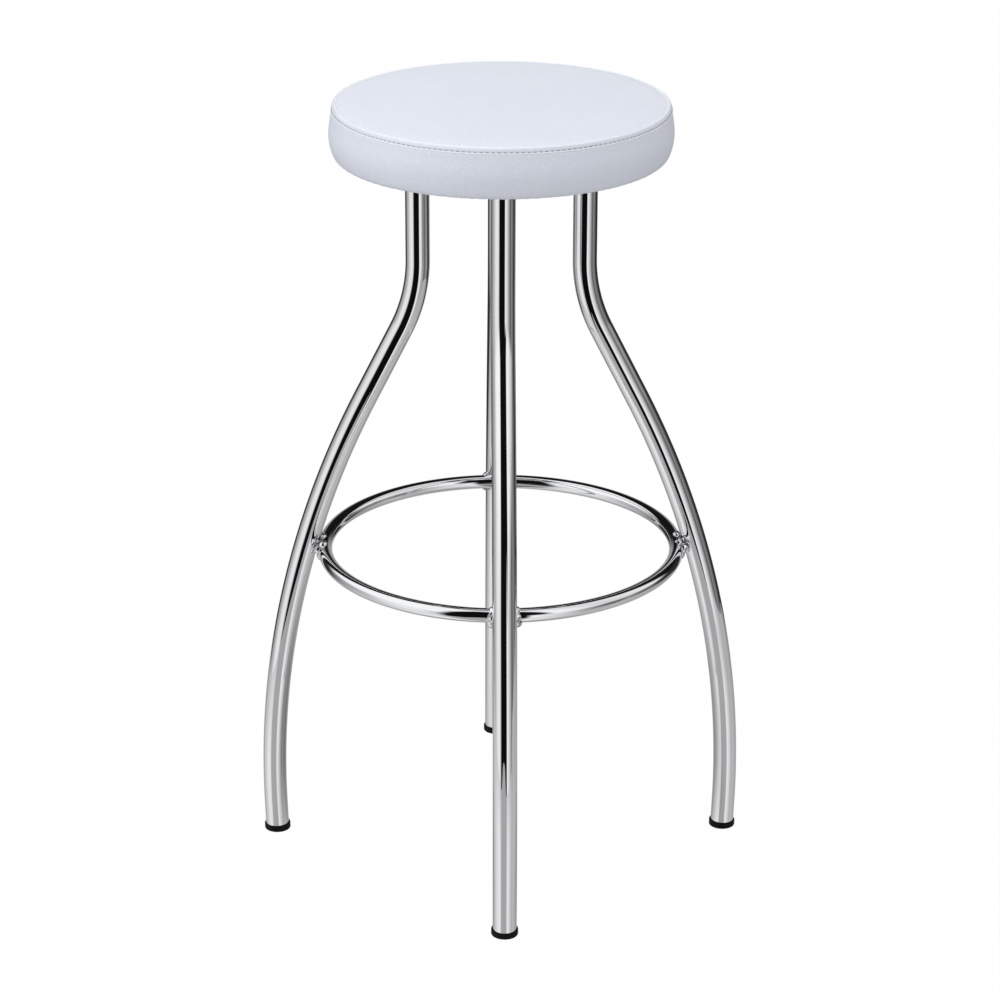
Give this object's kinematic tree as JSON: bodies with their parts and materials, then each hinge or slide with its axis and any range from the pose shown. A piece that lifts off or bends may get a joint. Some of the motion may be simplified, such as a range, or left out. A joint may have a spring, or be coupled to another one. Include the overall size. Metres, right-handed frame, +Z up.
{
  "type": "diner counter stool",
  "caption": "Backless counter stool: round padded vinyl seat that turns on a ball swivel, on bent chrome tube legs joined by a foot ring, with rubber feet.",
  "frame": {"origin": "on the floor, at the centre of the four feet and under the seat's turning axis", "axes": "+Z up along the seat's turning axis; the front leg stands towards -Y, the right leg towards +X"},
  "size_m": [0.5164, 0.5164, 0.822],
  "materials": {
    "cover_vinyl": "satin",
    "seat_foam": "matte",
    "plywood": "matte",
    "dust_cloth": "matte",
    "zinc_steel": "satin",
    "bearing_steel": "polished",
    "cage_nylon": "satin",
    "chrome_plate": "polished",
    "cap_rubber": "matte"
  },
  "bodies": {
    "frame": {"swivel_bottom_plate": "zinc_steel", "swivel_kingpin": "zinc_steel", "kingpin_washer": "zinc_steel", "kingpin_locknut": "zinc_steel", "frame_screws": "zinc_steel", "frame_washers": "zinc_steel", "frame_locknuts": "zinc_steel", "frame_plate": "chrome_plate", "leg_top_welds": "chrome_plate", "foot_ring": "chrome_plate", "ring_butt_weld": "chrome_plate", "leg_front": "chrome_plate", "ring_weld_front": "chrome_plate", "leg_right": "chrome_plate", "ring_weld_right": "chrome_plate", "leg_back": "chrome_plate", "ring_weld_back": "chrome_plate", "leg_left": "chrome_plate", "ring_weld_left": "chrome_plate", "foot_cap_front": "cap_rubber", "foot_cap_right": "cap_rubber", "foot_cap_back": "cap_rubber", "foot_cap_left": "cap_rubber"},
    "seat": {"seat_top_panel": "cover_vinyl", "seat_side_band": "cover_vinyl", "seat_foam": "seat_foam", "seat_board": "plywood", "seat_dust_cover": "dust_cloth", "cover_staples": "zinc_steel", "tee_nuts": "zinc_steel", "seat_screws": "zinc_steel", "swivel_top_plate": "zinc_steel"},
    "bearing": {"ball_cage": "cage_nylon", "swivel_balls": "bearing_steel"}
  },
  "joints": [
    {"name": "seat_swivel", "type": "hinge", "parent": "frame", "child": "seat", "pos_m": [0, 0, 0.7585], "axis": [0, 0, 1], "continuous": true},
    {"name": "bearing_orbit", "type": "hinge", "parent": "frame", "child": "bearing", "pos_m": [0, 0, 0.7585], "axis": [0, 0, 1], "continuous": true}
  ],
  "couplings": [
    {"joint": "bearing_orbit", "follows": "seat_swivel", "ratio": 0.5}
  ]
}
